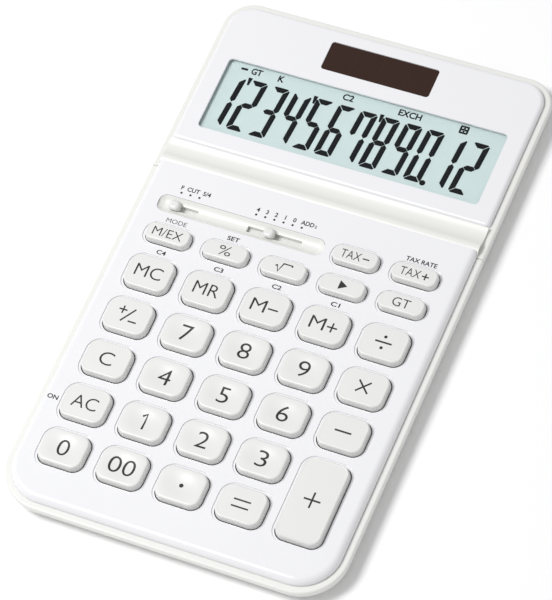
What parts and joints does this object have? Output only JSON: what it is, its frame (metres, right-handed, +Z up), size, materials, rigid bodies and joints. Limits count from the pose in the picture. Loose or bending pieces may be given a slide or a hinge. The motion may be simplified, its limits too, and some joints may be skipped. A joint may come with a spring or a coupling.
{
  "type": "desk calculator",
  "caption": "Slim white desk calculator with a tilting display section, spring keys, two slide selectors, a solar cell and a button cell.",
  "frame": {"origin": "middle of the whole footprint, on the surface the calculator stands on", "axes": "+X to the user's right, +Y away from the user towards the display, +Z up"},
  "size_m": [0.109, 0.1836, 0.0108],
  "materials": {
    "plate_white": "gloss",
    "trim_white": "satin",
    "key_white": "satin",
    "dome_rubber": "matt",
    "foot_rubber": "matt",
    "board_green": "solder mask",
    "chip_black": "potting resin",
    "screw_steel": "zinc plated",
    "cable_amber": "film",
    "window_clear": "clear",
    "lcd_pale": "reflective liquid crystal glass",
    "frame_black": "matt",
    "solar_brown": "amorphous cell under glass",
    "cell_steel": "nickel plated",
    "contact_brass": "plated"
  },
  "bodies": {
    "base": {"upper_case": "plate_white", "lower_case": "trim_white", "key_pad_sheet": "dome_rubber", "key_board": "board_green", "calculator_chip": "chip_black", "board_screws": "screw_steel", "case_screws": "screw_steel", "rubber_feet": "foot_rubber", "selector_trough": "trim_white", "hinge_pins": "screw_steel", "flex_cable": "cable_amber"},
    "lid": {"lid_front": "plate_white", "lid_back": "trim_white", "display_window": "window_clear", "lcd_cell": "lcd_pale", "lcd_frame": "frame_black", "elastomer_strip": "foot_rubber", "solar_cell": "solar_brown", "display_board": "board_green", "lid_screws": "screw_steel", "battery_cell": "cell_steel", "battery_contact_plus": "contact_brass", "battery_contact_minus": "contact_brass", "battery_cover": "trim_white", "battery_cover_screw": "screw_steel"},
    "rounding_selector": {"rounding_selector": "key_white", "rounding_wiper": "contact_brass"},
    "decimal_selector": {"decimal_selector": "key_white", "decimal_wiper": "contact_brass"},
    "key_0": {"key_0": "key_white"},
    "key_00": {"key_00": "key_white"},
    "key_point": {"key_point": "key_white"},
    "key_equals": {"key_equals": "key_white"},
    "key_ac": {"key_ac": "key_white"},
    "key_1": {"key_1": "key_white"},
    "key_2": {"key_2": "key_white"},
    "key_3": {"key_3": "key_white"},
    "key_c": {"key_c": "key_white"},
    "key_4": {"key_4": "key_white"},
    "key_5": {"key_5": "key_white"},
    "key_6": {"key_6": "key_white"},
    "key_minus": {"key_minus": "key_white"},
    "key_sign": {"key_sign": "key_white"},
    "key_7": {"key_7": "key_white"},
    "key_8": {"key_8": "key_white"},
    "key_9": {"key_9": "key_white"},
    "key_multiply": {"key_multiply": "key_white"},
    "key_memory_clear": {"key_memory_clear": "key_white"},
    "key_memory_recall": {"key_memory_recall": "key_white"},
    "key_memory_minus": {"key_memory_minus": "key_white"},
    "key_memory_plus": {"key_memory_plus": "key_white"},
    "key_divide": {"key_divide": "key_white"},
    "key_plus": {"key_plus": "key_white"},
    "key_exchange": {"key_exchange": "key_white"},
    "key_percent": {"key_percent": "key_white"},
    "key_root": {"key_root": "key_white"},
    "key_backspace": {"key_backspace": "key_white"},
    "key_grand_total": {"key_grand_total": "key_white"},
    "key_tax_minus": {"key_tax_minus": "key_white"},
    "key_tax_plus": {"key_tax_plus": "key_white"}
  },
  "joints": [
    {"name": "lid_tilt", "type": "hinge", "parent": "base", "child": "lid", "pos_m": [0, 0.0303, 0.0053], "axis": [1, 0, 0], "range_deg": [0, 35], "deforming": ["flex_cable"]},
    {"name": "rounding_slide", "type": "slide", "parent": "base", "child": "rounding_selector", "axis": [1, 0, 0], "range_m": [0, 0.006]},
    {"name": "decimal_slide", "type": "slide", "parent": "base", "child": "decimal_selector", "axis": [1, 0, 0], "range_m": [-0.006, 0.009]},
    {"name": "key_0_press", "type": "slide", "parent": "base", "child": "key_0", "axis": [0, 0, -1], "range_m": [0, 0.0016], "stiffness_N_per_m": 300, "springref_m": -0.0008, "deforming": ["key_pad_sheet"]},
    {"name": "key_00_press", "type": "slide", "parent": "base", "child": "key_00", "axis": [0, 0, -1], "range_m": [0, 0.0016], "stiffness_N_per_m": 300, "springref_m": -0.0008, "deforming": ["key_pad_sheet"]},
    {"name": "key_point_press", "type": "slide", "parent": "base", "child": "key_point", "axis": [0, 0, -1], "range_m": [0, 0.0016], "stiffness_N_per_m": 300, "springref_m": -0.0008, "deforming": ["key_pad_sheet"]},
    {"name": "key_equals_press", "type": "slide", "parent": "base", "child": "key_equals", "axis": [0, 0, -1], "range_m": [0, 0.0016], "stiffness_N_per_m": 300, "springref_m": -0.0008, "deforming": ["key_pad_sheet"]},
    {"name": "key_ac_press", "type": "slide", "parent": "base", "child": "key_ac", "axis": [0, 0, -1], "range_m": [0, 0.0016], "stiffness_N_per_m": 300, "springref_m": -0.0008, "deforming": ["key_pad_sheet"]},
    {"name": "key_1_press", "type": "slide", "parent": "base", "child": "key_1", "axis": [0, 0, -1], "range_m": [0, 0.0016], "stiffness_N_per_m": 300, "springref_m": -0.0008, "deforming": ["key_pad_sheet"]},
    {"name": "key_2_press", "type": "slide", "parent": "base", "child": "key_2", "axis": [0, 0, -1], "range_m": [0, 0.0016], "stiffness_N_per_m": 300, "springref_m": -0.0008, "deforming": ["key_pad_sheet"]},
    {"name": "key_3_press", "type": "slide", "parent": "base", "child": "key_3", "axis": [0, 0, -1], "range_m": [0, 0.0016], "stiffness_N_per_m": 300, "springref_m": -0.0008, "deforming": ["key_pad_sheet"]},
    {"name": "key_c_press", "type": "slide", "parent": "base", "child": "key_c", "axis": [0, 0, -1], "range_m": [0, 0.0016], "stiffness_N_per_m": 300, "springref_m": -0.0008, "deforming": ["key_pad_sheet"]},
    {"name": "key_4_press", "type": "slide", "parent": "base", "child": "key_4", "axis": [0, 0, -1], "range_m": [0, 0.0016], "stiffness_N_per_m": 300, "springref_m": -0.0008, "deforming": ["key_pad_sheet"]},
    {"name": "key_5_press", "type": "slide", "parent": "base", "child": "key_5", "axis": [0, 0, -1], "range_m": [0, 0.0016], "stiffness_N_per_m": 300, "springref_m": -0.0008, "deforming": ["key_pad_sheet"]},
    {"name": "key_6_press", "type": "slide", "parent": "base", "child": "key_6", "axis": [0, 0, -1], "range_m": [0, 0.0016], "stiffness_N_per_m": 300, "springref_m": -0.0008, "deforming": ["key_pad_sheet"]},
    {"name": "key_minus_press", "type": "slide", "parent": "base", "child": "key_minus", "axis": [0, 0, -1], "range_m": [0, 0.0016], "stiffness_N_per_m": 300, "springref_m": -0.0008, "deforming": ["key_pad_sheet"]},
    {"name": "key_sign_press", "type": "slide", "parent": "base", "child": "key_sign", "axis": [0, 0, -1], "range_m": [0, 0.0016], "stiffness_N_per_m": 300, "springref_m": -0.0008, "deforming": ["key_pad_sheet"]},
    {"name": "key_7_press", "type": "slide", "parent": "base", "child": "key_7", "axis": [0, 0, -1], "range_m": [0, 0.0016], "stiffness_N_per_m": 300, "springref_m": -0.0008, "deforming": ["key_pad_sheet"]},
    {"name": "key_8_press", "type": "slide", "parent": "base", "child": "key_8", "axis": [0, 0, -1], "range_m": [0, 0.0016], "stiffness_N_per_m": 300, "springref_m": -0.0008, "deforming": ["key_pad_sheet"]},
    {"name": "key_9_press", "type": "slide", "parent": "base", "child": "key_9", "axis": [0, 0, -1], "range_m": [0, 0.0016], "stiffness_N_per_m": 300, "springref_m": -0.0008, "deforming": ["key_pad_sheet"]},
    {"name": "key_multiply_press", "type": "slide", "parent": "base", "child": "key_multiply", "axis": [0, 0, -1], "range_m": [0, 0.0016], "stiffness_N_per_m": 300, "springref_m": -0.0008, "deforming": ["key_pad_sheet"]},
    {"name": "key_memory_clear_press", "type": "slide", "parent": "base", "child": "key_memory_clear", "axis": [0, 0, -1], "range_m": [0, 0.0016], "stiffness_N_per_m": 300, "springref_m": -0.0008, "deforming": ["key_pad_sheet"]},
    {"name": "key_memory_recall_press", "type": "slide", "parent": "base", "child": "key_memory_recall", "axis": [0, 0, -1], "range_m": [0, 0.0016], "stiffness_N_per_m": 300, "springref_m": -0.0008, "deforming": ["key_pad_sheet"]},
    {"name": "key_memory_minus_press", "type": "slide", "parent": "base", "child": "key_memory_minus", "axis": [0, 0, -1], "range_m": [0, 0.0016], "stiffness_N_per_m": 300, "springref_m": -0.0008, "deforming": ["key_pad_sheet"]},
    {"name": "key_memory_plus_press", "type": "slide", "parent": "base", "child": "key_memory_plus", "axis": [0, 0, -1], "range_m": [0, 0.0016], "stiffness_N_per_m": 300, "springref_m": -0.0008, "deforming": ["key_pad_sheet"]},
    {"name": "key_divide_press", "type": "slide", "parent": "base", "child": "key_divide", "axis": [0, 0, -1], "range_m": [0, 0.0016], "stiffness_N_per_m": 300, "springref_m": -0.0008, "deforming": ["key_pad_sheet"]},
    {"name": "key_plus_press", "type": "slide", "parent": "base", "child": "key_plus", "axis": [0, 0, -1], "range_m": [0, 0.0016], "stiffness_N_per_m": 300, "springref_m": -0.0008, "deforming": ["key_pad_sheet"]},
    {"name": "key_exchange_press", "type": "slide", "parent": "base", "child": "key_exchange", "axis": [0, 0, -1], "range_m": [0, 0.0016], "stiffness_N_per_m": 300, "springref_m": -0.0008, "deforming": ["key_pad_sheet"]},
    {"name": "key_percent_press", "type": "slide", "parent": "base", "child": "key_percent", "axis": [0, 0, -1], "range_m": [0, 0.0016], "stiffness_N_per_m": 300, "springref_m": -0.0008, "deforming": ["key_pad_sheet"]},
    {"name": "key_root_press", "type": "slide", "parent": "base", "child": "key_root", "axis": [0, 0, -1], "range_m": [0, 0.0016], "stiffness_N_per_m": 300, "springref_m": -0.0008, "deforming": ["key_pad_sheet"]},
    {"name": "key_backspace_press", "type": "slide", "parent": "base", "child": "key_backspace", "axis": [0, 0, -1], "range_m": [0, 0.0016], "stiffness_N_per_m": 300, "springref_m": -0.0008, "deforming": ["key_pad_sheet"]},
    {"name": "key_grand_total_press", "type": "slide", "parent": "base", "child": "key_grand_total", "axis": [0, 0, -1], "range_m": [0, 0.0016], "stiffness_N_per_m": 300, "springref_m": -0.0008, "deforming": ["key_pad_sheet"]},
    {"name": "key_tax_minus_press", "type": "slide", "parent": "base", "child": "key_tax_minus", "axis": [0, 0, -1], "range_m": [0, 0.0016], "stiffness_N_per_m": 300, "springref_m": -0.0008, "deforming": ["key_pad_sheet"]},
    {"name": "key_tax_plus_press", "type": "slide", "parent": "base", "child": "key_tax_plus", "axis": [0, 0, -1], "range_m": [0, 0.0016], "stiffness_N_per_m": 300, "springref_m": -0.0008, "deforming": ["key_pad_sheet"]}
  ]
}
